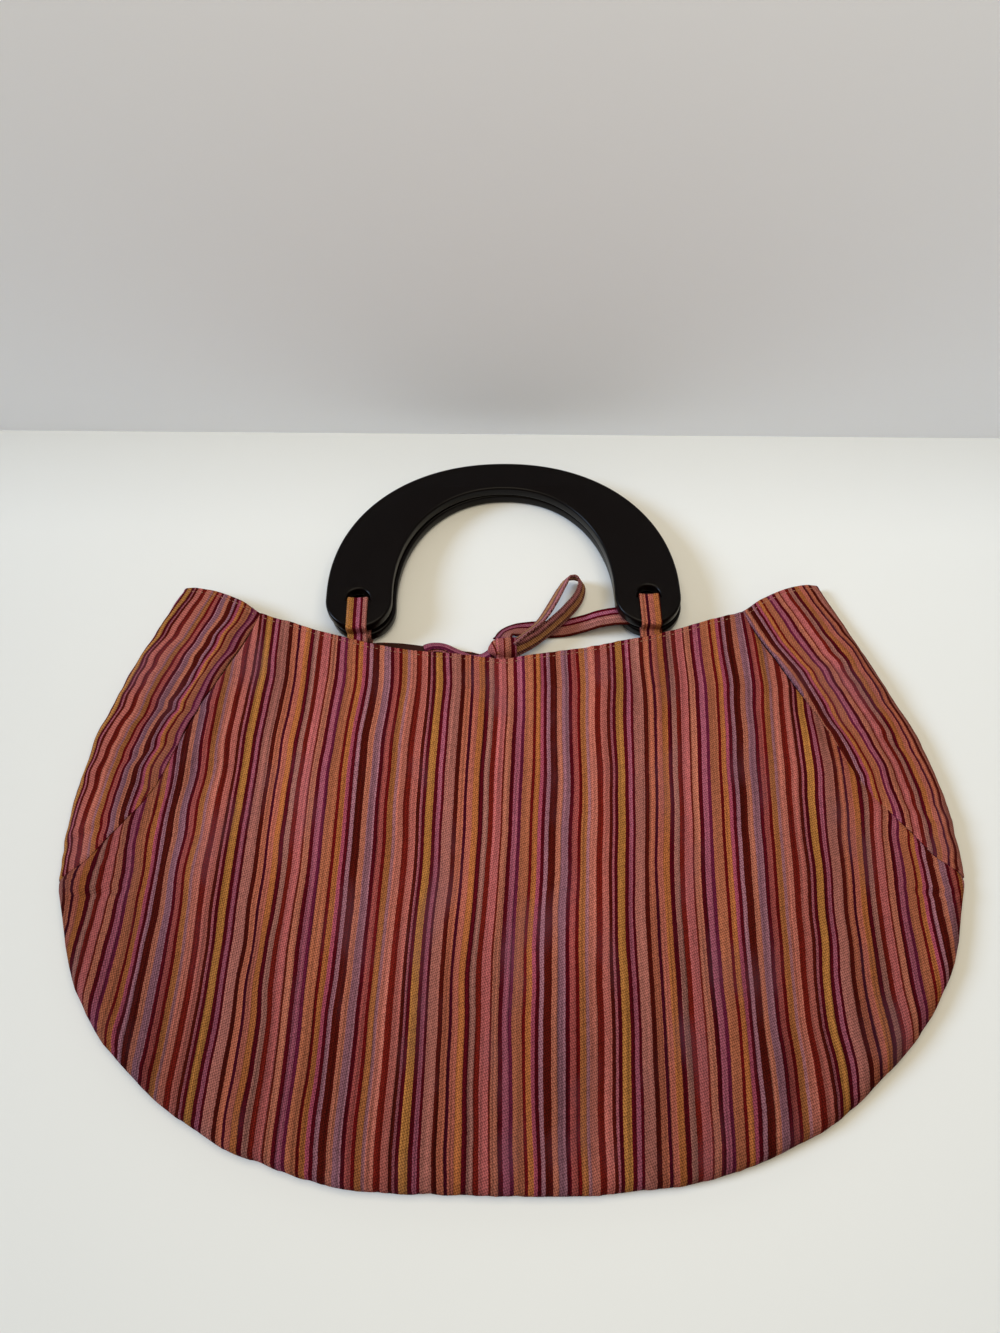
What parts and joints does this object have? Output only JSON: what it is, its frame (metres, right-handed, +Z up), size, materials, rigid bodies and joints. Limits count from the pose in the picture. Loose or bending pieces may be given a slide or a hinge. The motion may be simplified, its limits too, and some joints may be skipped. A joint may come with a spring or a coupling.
{
  "type": "handbag",
  "caption": "Wide striped cotton handbag lying flat, with rounded bottom, side gussets, flat D-shaped dark wooden handles on cloth loops and a tie at the mouth.",
  "frame": {"origin": "on the resting surface under the back panel, midway between the handles' feet, level with the widest points of the bag", "axes": "+X across the bag to the wearer-side right as seen from the front, +Y from the bottom seam to the handles, +Z up from the back panel through the front panel"},
  "size_m": [0.439, 0.3802, 0.0211],
  "materials": {
    "striped_cotton": "matt woven cotton with narrow lengthwise stripes in rose, tan, gold, mauve, maroon and dark brown",
    "lining_cotton": "plain dark brown woven lining",
    "dark_wood": "near-black stained wood with a satin coat",
    "tie_cotton": "the striped cotton folded into narrow stitched ribbons"
  },
  "bodies": {
    "root": {"front_panel": "striped_cotton", "back_panel": "striped_cotton", "side_panel_left": "striped_cotton", "side_panel_right": "striped_cotton", "lining_front": "lining_cotton", "lining_back": "lining_cotton", "handle_front": "dark_wood", "handle_back": "dark_wood", "handle_loop_front_left": "tie_cotton", "handle_loop_front_right": "tie_cotton", "handle_loop_back_left": "tie_cotton", "handle_loop_back_right": "tie_cotton", "tie_knot": "tie_cotton", "tie_tab": "tie_cotton", "tie_back_tab": "tie_cotton", "tie_bow": "tie_cotton", "tie_long_tail": "tie_cotton", "tie_short_tail": "tie_cotton"}
  },
  "joints": []
}
